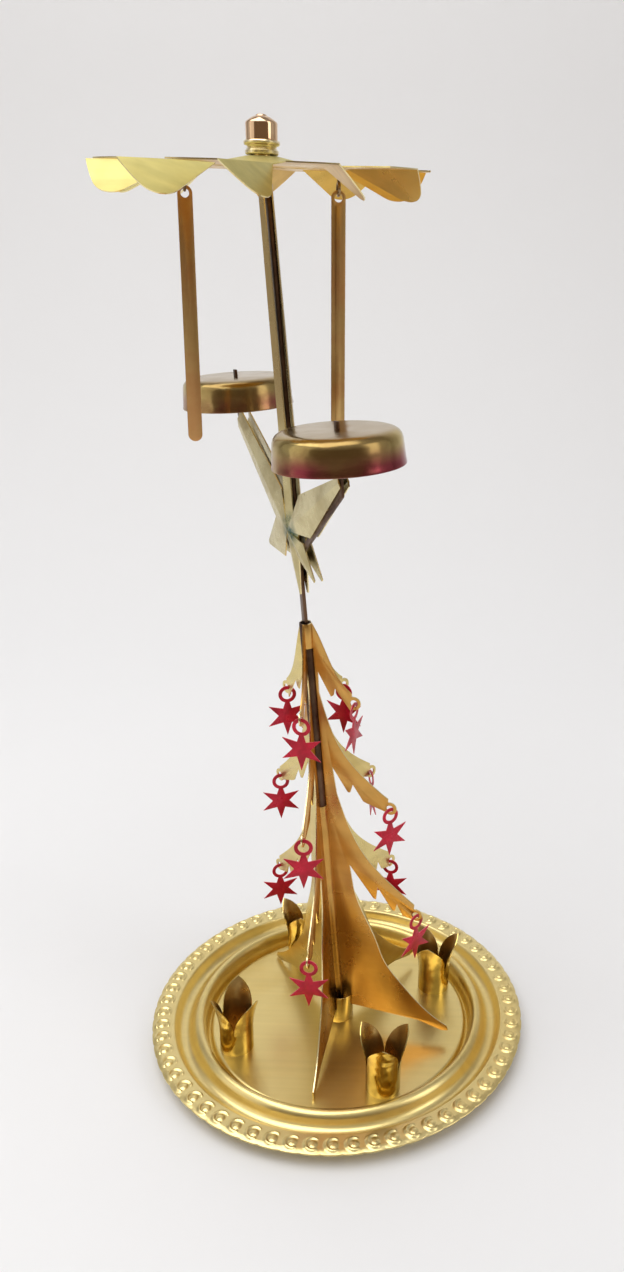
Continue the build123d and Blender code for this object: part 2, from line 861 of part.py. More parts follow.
def hook(side):
    """Bent wire with a bar above the rotor and a closed eye below it."""
    bar_height = hook_wire_radius + hook_seat_gap
    rise = hook_bar_length / 2 * math.sin(math.radians(rotor_tilt))
    bar_height = bar_height + rise
    bar = Rot(90, 0, 0) * Cylinder(hook_wire_radius, hook_bar_length)
    eye_top = hook_stem_length - hook_eye_radius
    stem = Cylinder(
        hook_wire_radius, eye_top + bar_height, align=(Align.CENTER, Align.CENTER, Align.MAX)
    )
    eye = Rot(0, 90, 0) * Torus(hook_eye_radius, hook_wire_radius)
    wire = Pos(0, 0, bar_height) * (bar + stem) + Pos(0, 0, -hook_stem_length) * eye
    return Pos(hook_spot(side)) * Rot(0, 0, hook_azimuths()[side]) * wire


def striker_pivot(side):
    """Middle of the wire at the bottom of a hook's eye."""
    return hook_spot(side) - Vector(0, 0, hook_stem_length + hook_eye_radius)


def striker(side):
    """Flat bar with round ends, a hanging hole and a pressed rib down its middle."""
    half = striker_width / 2
    run = striker_length - striker_width
    bar = Pos(0, -run / 2) * Rectangle(striker_width, run) + Circle(half) + Pos(0, -run) * Circle(half)
    solid = extrude(Plane.XZ * (bar - Circle(striker_hole_radius)), striker_sheet / 2, both=True)
    rib_run = run - striker_width
    rib = Pos(0, -striker_width / 2 - rib_run / 2) * Rectangle(striker_ridge_width, rib_run)
    solid = solid + Plane.XZ * extrude(rib, striker_sheet / 2 + striker_ridge_height)
    lift = striker_hole_radius - hook_wire_radius - hook_seat_gap
    place = striker_pivot(side) - Vector(0, 0, lift)
    return Pos(place) * Rot(0, 0, hook_azimuths()[side]) * solid


def write_nodes():
    os.makedirs(node_folder, exist_ok=True)
    nodes = {
        "base_plate": base_plate(),
        "tray_rivets": tray_rivets(),
        "tree_socket": tree_socket(),
        "tree_tube": tree_tube(),
        "tree_sheet_front": tree_sheet_front(),
        "tree_sheet_back": tree_sheet_back(),
        "pole_rod": pole_rod(),
        "needle": needle(),
        "star_front_shell": star_front_shell(),
        "star_back_shell": star_back_shell(),
        "bell_arm": bell_arm(),
        "rotor": rotor(),
        "rotor_collar": rotor_collar(),
        "rotor_cap": rotor_cap(),
        "bearing_cup": bearing_cup(),
    }
    for name in cup_azimuths():
        nodes[f"candle_cup_{name}"] = candle_cup(name)
    for side in ("left", "right"):
        nodes[f"bell_{side}"] = bell(side)
        nodes[f"hook_{side}"] = hook(side)
        nodes[f"striker_{side}"] = striker(side)
    for side in vane_azimuths:
        for tier, level in enumerate(("top", "middle", "low")):
            nodes[f"star_{side}_{level}"] = pendant(side, tier)
    for name, shape in nodes.items():
        export_step(shape, f"{node_folder}/{name}.step")


write_nodes()
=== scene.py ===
import json
import math

import bmesh
import bpy
from mathutils import Matrix, Vector


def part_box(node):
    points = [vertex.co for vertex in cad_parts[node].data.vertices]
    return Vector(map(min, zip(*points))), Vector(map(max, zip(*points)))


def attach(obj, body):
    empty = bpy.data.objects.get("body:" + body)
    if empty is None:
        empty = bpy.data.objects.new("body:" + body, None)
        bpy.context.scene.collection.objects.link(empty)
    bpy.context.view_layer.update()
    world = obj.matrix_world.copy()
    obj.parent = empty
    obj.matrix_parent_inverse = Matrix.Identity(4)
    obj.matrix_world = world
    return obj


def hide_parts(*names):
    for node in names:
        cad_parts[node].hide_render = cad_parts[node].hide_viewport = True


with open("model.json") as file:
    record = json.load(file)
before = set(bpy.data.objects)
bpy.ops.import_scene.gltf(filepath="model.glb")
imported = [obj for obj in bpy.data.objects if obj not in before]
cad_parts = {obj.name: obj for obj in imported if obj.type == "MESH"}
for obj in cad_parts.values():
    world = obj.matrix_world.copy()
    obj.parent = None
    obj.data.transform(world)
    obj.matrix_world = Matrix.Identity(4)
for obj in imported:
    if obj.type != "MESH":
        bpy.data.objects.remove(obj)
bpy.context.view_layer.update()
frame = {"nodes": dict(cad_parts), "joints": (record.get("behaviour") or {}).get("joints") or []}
cad = frame["nodes"]

# ---------------------------------------------------------------------------
# Camera. A hand held close-up, looking down at the chime from a little above
# its middle, with the tray near the bottom of a tall frame.
camera_data = bpy.data.cameras.new("camera")
camera_data.sensor_width = 36.0
camera_data.lens = 28.47
camera_data.shift_x = -0.0849
camera_data.clip_start = 0.01
camera_data.clip_end = 20.0
pitch = math.radians(19.866)
roll = math.radians(1.897)
level_right = Vector((1, 0, 0))
level_up = Vector((0, math.sin(pitch), math.cos(pitch)))
backward = -Vector((0, math.cos(pitch), -math.sin(pitch)))
right = level_right * math.cos(roll) + level_up * math.sin(roll)
up = level_up * math.cos(roll) - level_right * math.sin(roll)
camera = bpy.data.objects.new("camera", camera_data)
camera_place = Matrix.Translation((0.0290, -0.3483, 0.3010))
camera_turn = Matrix((right, up, backward)).transposed().to_4x4()
camera.matrix_world = camera_place @ camera_turn
bpy.context.collection.objects.link(camera)
bpy.context.scene.camera = camera


# ---------------------------------------------------------------------------
# Studio. A pale paper sweep that runs from the table up behind the chime, one
# wide soft lamp above, two softer ones at the sides, and a dim room in front.
def paper_sweep():
    width, front, back, bend, top = 6.0, -1.6, 0.9, 0.5, 3.0
    line = [(front, 0.0), (back - bend, 0.0)]
    for step in range(1, 17):
        angle = math.radians(90 * step / 16)
        line.append((back - bend + bend * math.sin(angle), bend - bend * math.cos(angle)))
    line.append((back, top))
    vertices = [(x, y, z) for y, z in line for x in (-width / 2, width / 2)]
    faces = [(2 * i, 2 * i + 1, 2 * i + 3, 2 * i + 2) for i in range(len(line) - 1)]
    mesh = bpy.data.meshes.new("paper_sweep")
    mesh.from_pydata(vertices, [], faces)
    mesh.shade_smooth()
    return mesh


sweep = bpy.data.objects.new("paper_sweep", paper_sweep())
bpy.context.collection.objects.link(sweep)

paper = bpy.data.materials.new("pale_paper")
paper.use_nodes = True
paper_shader = paper.node_tree.nodes["Principled BSDF"]
paper_shader.inputs["Roughness"].default_value = 0.9
paper_shader.inputs["Base Color"].default_value = (0.84, 0.84, 0.845, 1)
sweep.data.materials.append(paper)


def soft_lamp(name, place, aim, size, power):
    data = bpy.data.lights.new(name, "AREA")
    data.shape = "RECTANGLE"
    data.size, data.size_y = size
    data.energy = power
    lamp = bpy.data.objects.new(name, data)
    lamp.location = place
    lamp.rotation_euler = (Vector(aim) - Vector(place)).to_track_quat("-Z", "Y").to_euler()
    bpy.context.collection.objects.link(lamp)


soft_lamp("top_lamp", (-0.3, -0.2, 1.3), (0, 0, 0.1), (1.4, 1.2), 13)
soft_lamp("left_lamp", (-1.3, -0.6, 0.6), (0, 0, 0.15), (1.0, 1.2), 2.4)
soft_lamp("right_lamp", (1.2, -0.5, 0.8), (0, 0, 0.15), (0.5, 1.0), 3)


def link(tree, start, end):
    tree.links.new(start, end)


def fade(tree, value, start, end, most=1.0):
    """Smooth step from 0, where the value is at its start, to most, where it is at its end."""
    step = tree.nodes.new("ShaderNodeMapRange")
    step.interpolation_type = "SMOOTHSTEP"
    step.inputs["From Min"].default_value = start
    step.inputs["From Max"].default_value = end
    step.inputs["To Max"].default_value = most
    link(tree, value, step.inputs["Value"])
    return step.outputs[0]


def product(tree, one, two):
    times = tree.nodes.new("ShaderNodeMath")
    times.operation = "MULTIPLY"
    link(tree, one, times.inputs[0])
    link(tree, two, times.inputs[1])
    return times.outputs[0]


def two_tone(tree, mask, one, two):
    """The first colour where the mask is 0, and the second where it is 1."""
    mix = tree.nodes.new("ShaderNodeMix")
    mix.data_type = "RGBA"
    mix.inputs["A"].default_value = (*one, 1)
    mix.inputs["B"].default_value = (*two, 1)
    link(tree, mask, mix.inputs["Factor"])
    return mix.outputs["Result"]


world = bpy.data.worlds.new("studio")
bpy.context.scene.world = world
world.use_nodes = True
sky = world.node_tree
sky_light = sky.nodes["Background"]
sky_light.inputs["Strength"].default_value = 0.55
direction = sky.nodes.new("ShaderNodeTexCoord")
parts = sky.nodes.new("ShaderNodeSeparateXYZ")
link(sky, direction.outputs["Generated"], parts.inputs[0])
ahead = fade(sky, parts.outputs["Y"], 0.05, -0.55)
low = fade(sky, parts.outputs["Z"], 0.7, 0.3)
room_white, room_brown = (0.86, 0.855, 0.86), (0.30, 0.22, 0.15)
tone = two_tone(sky, product(sky, ahead, low), room_white, room_brown)
link(sky, tone, sky_light.inputs["Color"])
bpy.context.scene.view_settings.view_transform = "Standard"


# ---------------------------------------------------------------------------
# Tray. One disc of thin brass sheet, brushed from side to side, pressed with a
# floor that stands on a groove, a round ridge, a channel and a flat rim, and
# stamped round the rim with 62 commas above a scalloped edge.
comma_count = 62


def new_group(name, inputs, outputs):
    tree = bpy.data.node_groups.new(name, "ShaderNodeTree")
    for label, kind, value in inputs:
        socket = tree.interface.new_socket(label, in_out="INPUT", socket_type=kind)
        socket.default_value = value
    for label, kind in outputs:
        tree.interface.new_socket(label, in_out="OUTPUT", socket_type=kind)
    return tree, tree.nodes.new("NodeGroupInput"), tree.nodes.new("NodeGroupOutput")


def brush_marks():
    """Fine parallel lines left by the brush: Density is how tight they lie on each axis."""
    inputs = [
        ("Place", "NodeSocketVector", (0, 0, 0)),
        ("Density", "NodeSocketVector", (60, 3000, 3000)),
    ]
    outputs = [("Lines", "NodeSocketFloat"), ("Bands", "NodeSocketFloat")]
    tree, start, end = new_group("brush_marks", inputs, outputs)
    stretch = tree.nodes.new("ShaderNodeVectorMath")
    stretch.operation = "MULTIPLY"
    link(tree, start.outputs["Place"], stretch.inputs[0])
    link(tree, start.outputs["Density"], stretch.inputs[1])
    fine = tree.nodes.new("ShaderNodeTexNoise")
    fine.inputs["Scale"].default_value = 1.0
    fine.inputs["Detail"].default_value = 3.0
    fine.inputs["Roughness"].default_value = 0.65
    link(tree, stretch.outputs[0], fine.inputs["Vector"])
    broad = tree.nodes.new("ShaderNodeTexNoise")
    broad.inputs["Scale"].default_value = 0.17
    broad.inputs["Detail"].default_value = 2.0
    link(tree, stretch.outputs[0], broad.inputs["Vector"])
    link(tree, fine.outputs["Fac"], end.inputs["Lines"])
    link(tree, broad.outputs["Fac"], end.inputs["Bands"])
    return tree


def tarnish_cloud():
    """Uneven patches where the brass has dulled: Size is patches per metre."""
    inputs = [
        ("Place", "NodeSocketVector", (0, 0, 0)),
        ("Size", "NodeSocketFloat", 60.0),
        ("Cover", "NodeSocketFloat", 0.5),
    ]
    tree, start, end = new_group("tarnish_cloud", inputs, [("Patches", "NodeSocketFloat")])
    cloud = tree.nodes.new("ShaderNodeTexNoise")
    cloud.inputs["Detail"].default_value = 5.0
    cloud.inputs["Roughness"].default_value = 0.6
    link(tree, start.outputs["Place"], cloud.inputs["Vector"])
    link(tree, start.outputs["Size"], cloud.inputs["Scale"])
    edge = tree.nodes.new("ShaderNodeMath")
    edge.operation = "SUBTRACT"
    edge.inputs[0].default_value = 1.0
    link(tree, start.outputs["Cover"], edge.inputs[1])
    soft = tree.nodes.new("ShaderNodeMapRange")
    soft.interpolation_type = "SMOOTHSTEP"
    low_side = tree.nodes.new("ShaderNodeMath")
    low_side.operation = "SUBTRACT"
    low_side.inputs[1].default_value = 0.18
    high_side = tree.nodes.new("ShaderNodeMath")
    high_side.operation = "ADD"
    high_side.inputs[1].default_value = 0.18
    link(tree, edge.outputs[0], low_side.inputs[0])
    link(tree, edge.outputs[0], high_side.inputs[0])
    link(tree, cloud.outputs["Fac"], soft.inputs["Value"])
    link(tree, low_side.outputs[0], soft.inputs["From Min"])
    link(tree, high_side.outputs[0], soft.inputs["From Max"])
    link(tree, soft.outputs[0], end.inputs["Patches"])
    return tree


brushing = brush_marks()
tarnish = tarnish_cloud()


def object_place(tree):
    return tree.nodes.new("ShaderNodeTexCoord").outputs["Object"]


def patches(tree, size, cover):
    """Mask of uneven patches: size is patches per metre, cover the share that they take."""
    cloud = tree.nodes.new("ShaderNodeGroup")
    cloud.node_tree = tarnish
    cloud.inputs["Size"].default_value = size
    cloud.inputs["Cover"].default_value = cover
    link(tree, object_place(tree), cloud.inputs["Place"])
    return cloud.outputs["Patches"]


def uneven_gloss(tree, mask, least, most):
    """Roughness that goes from its least to its most with the mask."""
    rough = tree.nodes.new("ShaderNodeMapRange")
    rough.inputs["To Min"].default_value = least
    rough.inputs["To Max"].default_value = most
    link(tree, mask, rough.inputs["Value"])
    link(tree, rough.outputs[0], tree.nodes["Principled BSDF"].inputs["Roughness"])


def brass(
    name, bright, dull, gloss, density, depth, size=60.0, cover=0.45, dents=0.0, bands=(0.88, 1.06)
):
    """Brass with brush lines and dull patches; gloss is its roughness where bright and dull."""
    material = bpy.data.materials.new(name)
    material.use_nodes = True
    tree = material.node_tree
    shader = tree.nodes["Principled BSDF"]
    shader.inputs["Metallic"].default_value = 1.0
    place = object_place(tree)
    cloud = patches(tree, size, cover)
    marks = tree.nodes.new("ShaderNodeGroup")
    marks.node_tree = brushing
    marks.inputs["Density"].default_value = density
    link(tree, place, marks.inputs["Place"])
    shade = tree.nodes.new("ShaderNodeMapRange")
    shade.inputs["From Min"].default_value = 0.3
    shade.inputs["From Max"].default_value = 0.7
    shade.inputs["To Min"].default_value = bands[0]
    shade.inputs["To Max"].default_value = bands[1]
    link(tree, marks.outputs["Bands"], shade.inputs["Value"])
    lined = tree.nodes.new("ShaderNodeVectorMath")
    lined.operation = "SCALE"
    link(tree, two_tone(tree, cloud, bright, dull), lined.inputs[0])
    link(tree, shade.outputs[0], lined.inputs["Scale"])
    link(tree, lined.outputs[0], shader.inputs["Base Color"])
    uneven_gloss(tree, cloud, *gloss)
    grain = tree.nodes.new("ShaderNodeBump")
    grain.inputs["Distance"].default_value = depth
    grain.inputs["Strength"].default_value = 1.0
    link(tree, marks.outputs["Lines"], grain.inputs["Height"])
    if dents:
        dimples = tree.nodes.new("ShaderNodeTexNoise")
        dimples.inputs["Scale"].default_value = 170.0
        dimples.inputs["Detail"].default_value = 1.0
        link(tree, place, dimples.inputs["Vector"])
        dent = tree.nodes.new("ShaderNodeBump")
        dent.inputs["Distance"].default_value = dents
        link(tree, dimples.outputs["Fac"], dent.inputs["Height"])
        link(tree, dent.outputs["Normal"], grain.inputs["Normal"])
    link(tree, grain.outputs["Normal"], shader.inputs["Normal"])
    return material


def rounded(line, times):
    """Line with its corners cut back, ends kept."""
    for _ in range(times):
        shorter = [line[0]]
        for start, end in zip(line, line[1:]):
            shorter.append(tuple(a * 0.75 + b * 0.25 for a, b in zip(start, end)))
            shorter.append(tuple(a * 0.25 + b * 0.75 for a, b in zip(start, end)))
        line = [*shorter, line[-1]]
    return line


def comma_height(across, out):
    """Height in mm of a stamped comma, across and out being mm from its middle."""
    head_height, head_radius = 0.7, 1.6
    tail_height, tail_radius, tail_start, tail_end = 0.85, 2.45, 50, 310
    head_x, head_y = across - 0.5, out - 0.1
    reach = math.hypot(head_x, head_y)
    height = head_height * math.sqrt(max(0.0, 1 - (reach / head_radius) ** 2))
    angle = math.degrees(math.atan2(head_y, head_x)) % 360
    if tail_start < angle < tail_end:
        share = (angle - tail_start) / (tail_end - tail_start)
        width = 0.6 * math.sin(math.pi * min(1.0, share * 0.85 + 0.12))
        off = (reach - tail_radius - share * 0.4) / max(width, 0.05)
        height = max(height, tail_height * math.exp(-off * off))
    return height


def tray_wedge():
    """One comma's share of the tray, from its middle to its edge and back below."""
    columns, rim_steps = 20, 22
    floor, sheet, rim = 3.0, 0.5, 7.4
    rim_start, rim_width, edge_start = 69.0, 8.0, 74.8
    comma_start, comma_ring, scallop_start, scallop_depth = 69.2, 72.9, 75.5, 0.35
    press = [(51.0, floor), (53.2, floor), (53.9, 0.5), (54.6, 0.5), (56.0, 8.2), (59.6, 8.2)]
    press += [(61.8, 2.8), (66.2, 2.8), (68.0, rim), (rim_start, rim)]
    inner = [(0.0, floor), (18.0, floor), (36.0, floor), *rounded(press, 2)]
    flat = [rim_start + rim_width * step / rim_steps for step in range(1, rim_steps + 1)]
    top = inner + [(r, rim - 0.6 * max(0.0, (r - edge_start) / 2.2) ** 1.5) for r in flat]
    below = [(76.9, 6.3), (edge_start, 6.9), (71.5, 6.9)]
    press_below = [(68.9, 6.9), (68.3, 6.9), (66.5, 2.3), (61.45, 2.3), (59.25, 7.7)]
    press_below += [(56.4, 7.7), (55.0, 0.0), (53.5, 0.0)]
    press_below += [(52.8, floor - sheet), (51.0, floor - sheet)]
    below += rounded(press_below, 1) + [(30.0, floor - sheet), (0.0, floor - sheet)]
    half = math.pi / comma_count
    vertices, faces = [], []
    rows = []
    for index, (radius, height) in enumerate(top + below):
        on_rim = index < len(top) and radius > comma_start
        row = []
        for column in range(columns + 1):
            share = column / columns * 2 - 1
            angle = share * half
            reach = radius
            if radius > scallop_start:
                reach -= scallop_depth * (radius - scallop_start) / 1.5 * share**4
            lift = comma_height(angle * radius, radius - comma_ring) if on_rim else 0.0
            if radius == 0.0 and column:
                row.append(row[0])
                continue
            row.append(len(vertices))
            place = (reach * math.cos(angle), reach * math.sin(angle), height + lift * 0.8)
            vertices.append(tuple(value / 1000 for value in place))
        rows.append(row)
    for one, two in zip(rows, rows[1:]):
        for column in range(columns):
            ring = [one[column], two[column], two[column + 1], one[column + 1]]
            faces.append([v for at, v in enumerate(ring) if v not in ring[:at]])
    mesh = bpy.data.meshes.new("tray_wedge")
    mesh.from_pydata(vertices, [], faces)
    mesh.shade_smooth()
    return mesh


def turned_copies(wedge, material):
    """Geometry Nodes tree that repeats the wedge round Z and joins the copies."""
    tree = bpy.data.node_groups.new("turned_copies", "GeometryNodeTree")
    tree.interface.new_socket("Wedge", in_out="INPUT", socket_type="NodeSocketGeometry")
    count = tree.interface.new_socket("Count", in_out="INPUT", socket_type="NodeSocketInt")
    tree.interface.new_socket("Tray", in_out="OUTPUT", socket_type="NodeSocketGeometry")
    start, end = tree.nodes.new("NodeGroupInput"), tree.nodes.new("NodeGroupOutput")
    points = tree.nodes.new("GeometryNodeMeshLine")
    link(tree, start.outputs["Count"], points.inputs["Count"])
    points.inputs["Offset"].default_value = (0, 0, 0)
    step = tree.nodes.new("ShaderNodeMath")
    step.operation = "DIVIDE"
    step.inputs[0].default_value = math.tau
    link(tree, start.outputs["Count"], step.inputs[1])
    index = tree.nodes.new("GeometryNodeInputIndex")
    angle = tree.nodes.new("ShaderNodeMath")
    angle.operation = "MULTIPLY"
    link(tree, index.outputs[0], angle.inputs[0])
    link(tree, step.outputs[0], angle.inputs[1])
    turn = tree.nodes.new("ShaderNodeCombineXYZ")
    link(tree, angle.outputs[0], turn.inputs["Z"])
    copies = tree.nodes.new("GeometryNodeInstanceOnPoints")
    link(tree, points.outputs["Mesh"], copies.inputs["Points"])
    link(tree, start.outputs["Wedge"], copies.inputs["Instance"])
    link(tree, turn.outputs[0], copies.inputs["Rotation"])
    real = tree.nodes.new("GeometryNodeRealizeInstances")
    link(tree, copies.outputs[0], real.inputs[0])
    join = tree.nodes.new("GeometryNodeMergeByDistance")
    join.inputs["Distance"].default_value = 0.00001
    link(tree, real.outputs[0], join.inputs["Geometry"])
    paint = tree.nodes.new("GeometryNodeSetMaterial")
    paint.inputs["Material"].default_value = material
    link(tree, join.outputs[0], paint.inputs["Geometry"])
    link(tree, paint.outputs[0], end.inputs[0])
    maker = wedge.modifiers.new("turned", "NODES")
    maker.node_group = tree
    maker[count.identifier] = comma_count


def plain_mesh(obj):
    """Mesh of an object with its modifiers worked in, which are then removed."""
    bpy.context.view_layer.update()
    shown = obj.evaluated_get(bpy.context.evaluated_depsgraph_get())
    mesh = bpy.data.meshes.new_from_object(shown)
    obj.modifiers.clear()
    obj.data = mesh
    return mesh


def add_piece(name, mesh, body, slot, *nodes):
    piece = bpy.data.objects.new(name, mesh)
    bpy.context.collection.objects.link(piece)
    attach(piece, body)
    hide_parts(*nodes)


tray_brass = brass(
    "brushed_tray_brass", (0.85, 0.68, 0.29), (0.80, 0.60, 0.22), (0.29, 0.36), (35, 2600, 500),
    0.000009, size=22.0, cover=0.4, bands=(0.96, 1.02)
)


def paint_over(material, mask, colour):
    """Mixes a colour over the material's own colour where the mask is high."""
    tree = material.node_tree
    base = tree.nodes["Principled BSDF"].inputs["Base Color"]
    mix = tree.nodes.new("ShaderNodeMix")
    mix.data_type = "RGBA"
    mix.inputs["B"].default_value = (*colour, 1)
    link(tree, mask, mix.inputs["Factor"])
    link(tree, base.links[0].from_socket, mix.inputs["A"])
    link(tree, mix.outputs["Result"], base)


def paler_rim(material):
    """Lightens the flat rim, which is paler than the channel and the floor."""
    tree = material.node_tree
    level = tree.nodes.new("ShaderNodeVectorMath")
    level.operation = "MULTIPLY"
    level.inputs[1].default_value = (1, 1, 0)
    link(tree, object_place(tree), level.inputs[0])
    away = tree.nodes.new("ShaderNodeVectorMath")
    away.operation = "LENGTH"
    link(tree, level.outputs[0], away.inputs[0])
    rim = fade(tree, away.outputs["Value"], 0.0655, 0.0695, 0.4)
    paint_over(material, rim, (0.86, 0.72, 0.35))


paler_rim(tray_brass)
tray = bpy.data.objects.new("tray", tray_wedge())
bpy.context.collection.objects.link(tray)
turned_copies(tray, tray_brass)
plain_mesh(tray)
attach(tray, "stand")
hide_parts("base_plate")


# ---------------------------------------------------------------------------
# Candle cups. Four drawn brass tubes whose tops are cut into three petals and
# bent outwards, brown inside and lightly dented.
cup_ring, tray_floor = 44.8, 3.0
tube_radius, tube_wall, cup_floor = 6.75, 0.4, 0.5
notch_height, petal_rise = 9.2, 16.8


def cup_radius(height):
    """Outer radius in mm, which grows from the notches between the petals upwards."""
    share = max(0.0, (height - notch_height) / petal_rise)
    return tube_radius + 0.45 * share + 3.3 * share * share


def candle_cup(name, azimuth, petal_azimuth):
    """Closed cup with an outer and an inner skin; the inner one has the second finish."""
    centre = Vector((cup_ring * math.cos(azimuth), cup_ring * math.sin(azimuth), tray_floor))
    columns, low_rows, high_rows, plain_height = 20, 4, 14, 9.1
    vertices, faces, rows = [], [], []
    turns = []
    for petal in range(3):
        for column in range(columns):
            share = column / columns * 2 - 1
            share = math.copysign(1 - (1 - abs(share)) ** 1.7, share) if share else 0.0
            turns.append((petal_azimuth + petal * math.tau / 3 + share * math.pi / 3, abs(share)))
    for side in ("outer", "inner"):
        wall, low = (0.0, 0.0) if side == "outer" else (tube_wall, cup_floor)
        side_rows = []
        for row in range(low_rows + high_rows + 1):
            ring = []
            for angle, share in turns:
                tip = notch_height + petal_rise * max(0.0, 1 - share) ** 0.42
                if row <= low_rows:
                    height = low + (plain_height - low) * row / low_rows
                else:
                    rise = tip - plain_height
                    height = plain_height + rise * (row - low_rows) / high_rows
                radius = cup_radius(height) - wall
                ring.append(len(vertices))
                spot = Vector((radius * math.cos(angle), radius * math.sin(angle), height))
                vertices.append((centre + spot) / 1000)
            side_rows.append(ring)
        rows.append(side_rows)
    outer, inner = rows
    bottom = len(vertices)
    vertices.append(centre / 1000)
    vertices.append((centre + Vector((0, 0, cup_floor))) / 1000)
    around = len(turns)
    for at in range(around):
        after = (at + 1) % around
        for one, two in zip(outer, outer[1:]):
            faces.append((one[at], one[after], two[after], two[at]))
        for one, two in zip(inner, inner[1:]):
            faces.append((one[after], one[at], two[at], two[after]))
        faces.append((outer[-1][at], outer[-1][after], inner[-1][after], inner[-1][at]))
        faces.append((outer[0][after], outer[0][at], bottom))
        faces.append((inner[0][at], inner[0][after], bottom + 1))
    mesh = bpy.data.meshes.new(name)
    mesh.from_pydata(vertices, [], faces)
    mesh.shade_smooth()
    mesh.set_sharp_from_angle(angle=math.radians(50))
    mesh.materials.append(cup_brass)
    mesh.materials.append(petal_brass)
    inner_skin = set(v for ring in inner for v in ring) | {bottom + 1}
    for face in mesh.polygons:
        if inner_skin.issuperset(face.vertices):
            face.material_index = 1
    return mesh


cup_brass = brass(
    "bright_cup_brass", (0.66, 0.50, 0.17), (0.40, 0.26, 0.08), (0.10, 0.24), (900, 900, 90),
    0.000004, size=90.0, cover=0.42, dents=0.0004
)
petal_brass = brass(
    "heat_darkened_brass", (0.80, 0.58, 0.22), (0.52, 0.33, 0.11), (0.22, 0.36), (900, 900, 90),
    0.000004, size=110.0, cover=0.55, dents=0.0003
)
petal_turns = {"right": 12.0, "back": 152.0, "left": 93.0, "front": 269.0}
for turn, side in enumerate(("right", "back", "left", "front")):
    cup_name = "candle_cup_" + side
    cup = candle_cup(cup_name, math.radians(27.0 + 90 * turn), math.radians(petal_turns[side]))
    add_piece("cup_" + side, cup, "stand", "brass", cup_name)


# ---------------------------------------------------------------------------
# Rivets. Five flat brass rivets hold the cups and the tree socket to the tray.
# They are left as cut, with a little wear.
def coat(obj, *materials):
    obj.data.materials.clear()
    for material in materials:
        obj.data.materials.append(material)


rivet_brass = brass(
    "worn_rivet_brass", (0.60, 0.42, 0.14), (0.30, 0.19, 0.07), (0.22, 0.4), (700, 700, 700),
    0.000006, size=400.0
)
coat(cad["tray_rivets"], rivet_brass)


# ---------------------------------------------------------------------------
# Tree socket. A short slotted brass tube in the middle of the tray that grips
# the tree sheets, polished, with dark reflections.
def islands(mesh, angle=0.5):
    """Groups of faces that are bounded by sharp edges."""
    left = set(mesh.faces)
    while left:
        group, queue = [], [left.pop()]
        while queue:
            face = queue.pop()
            group.append(face)
            for edge in face.edges:
                if len(edge.link_faces) == 2 and edge.calc_face_angle(3.0) < angle:
                    for other in edge.link_faces:
                        if other in left:
                            left.remove(other)
                            queue.append(other)
        yield group


def finished_copy(name, source, materials, bevel, narrow=0.0007, sharp=40):
    """Copy of a CAD node with joined faces and broken corners. The second material goes on its
    narrow cut edges, and the third, where there is one, on the faces that look down."""
    mesh = bmesh.new()
    mesh.from_mesh(cad[source].data)
    mesh.transform(cad[source].matrix_world)
    bmesh.ops.remove_doubles(mesh, verts=mesh.verts, dist=0.000002)
    bmesh.ops.dissolve_limit(mesh, angle_limit=0.01, verts=mesh.verts, edges=mesh.edges)
    bmesh.ops.recalc_face_normals(mesh, faces=mesh.faces)
    for face in mesh.faces:
        face.material_index = 2 if len(materials) > 2 and face.normal.z < 0 else 0
    if len(materials) > 1:
        for group in islands(mesh):
            members = set(group)
            rim = 0.0
            for edge in set(edge for face in group for edge in face.edges):
                if sum(face in members for face in edge.link_faces) == 1:
                    rim += edge.calc_length()
            if rim and 2 * sum(face.calc_area() for face in group) / rim < narrow:
                for face in group:
                    face.material_index = 1
    plain = bpy.data.meshes.new(name)
    mesh.to_mesh(plain)
    mesh.free()
    for material in materials:
        plain.materials.append(material)
    holder = bpy.data.objects.new(name + "_work", plain)
    bpy.context.collection.objects.link(holder)
    if bevel:
        corners = holder.modifiers.new("corners", "BEVEL")
        corners.width = bevel
        corners.segments = 2
        corners.limit_method = "ANGLE"
        corners.angle_limit = math.radians(sharp)
        corners.use_clamp_overlap = True
    result = plain_mesh(holder)
    bpy.data.objects.remove(holder)
    result.name = name
    result.shade_smooth()
    result.set_sharp_from_angle(angle=math.radians(sharp))
    return result


socket_brass = brass(
    "socket_brass", (0.68, 0.50, 0.17), (0.46, 0.30, 0.09), (0.12, 0.26), (60, 60, 1800),
    0.000006, size=80.0, cover=0.4, dents=0.0002
)
socket = finished_copy("socket", "tree_socket", [socket_brass], 0.0001)
add_piece("socket", socket, "stand", "brass", "tree_socket")


# ---------------------------------------------------------------------------
# Tree tube. A thin brown tube stands in the socket and runs up inside the four
# vanes of the tree as far as the pole.
brown_metal = brass(
    "brown_patina", (0.15, 0.085, 0.05), (0.075, 0.04, 0.025), (0.30, 0.46), (120, 120, 25),
    0.000008, size=120.0, cover=0.5
)
tube = finished_copy("tube", "tree_tube", [brown_metal], 0.00008)
add_piece("tube", tube, "stand", "dark_brass", "tree_tube")


# ---------------------------------------------------------------------------
# Tree sheets. Two folded sheets of thin satin brass, each cut into two branch
# vanes and slid over the tube. The front sheet is painted deeper orange and the
# back one paler yellow as painted reflection, with a painted dark reflection near
# the front fold and a painted highlight on the cut edges.
# Painted dark reflection: the front sheet is given a deeper orange than the back one.
front_satin_dark_reflection = brass(
    "orange_satin_brass_painted_dark_reflection", (0.68, 0.39, 0.11), (0.60, 0.32, 0.08), (0.24, 0.32), (160, 160, 900),
    0.000008, size=26.0, cover=0.5
)
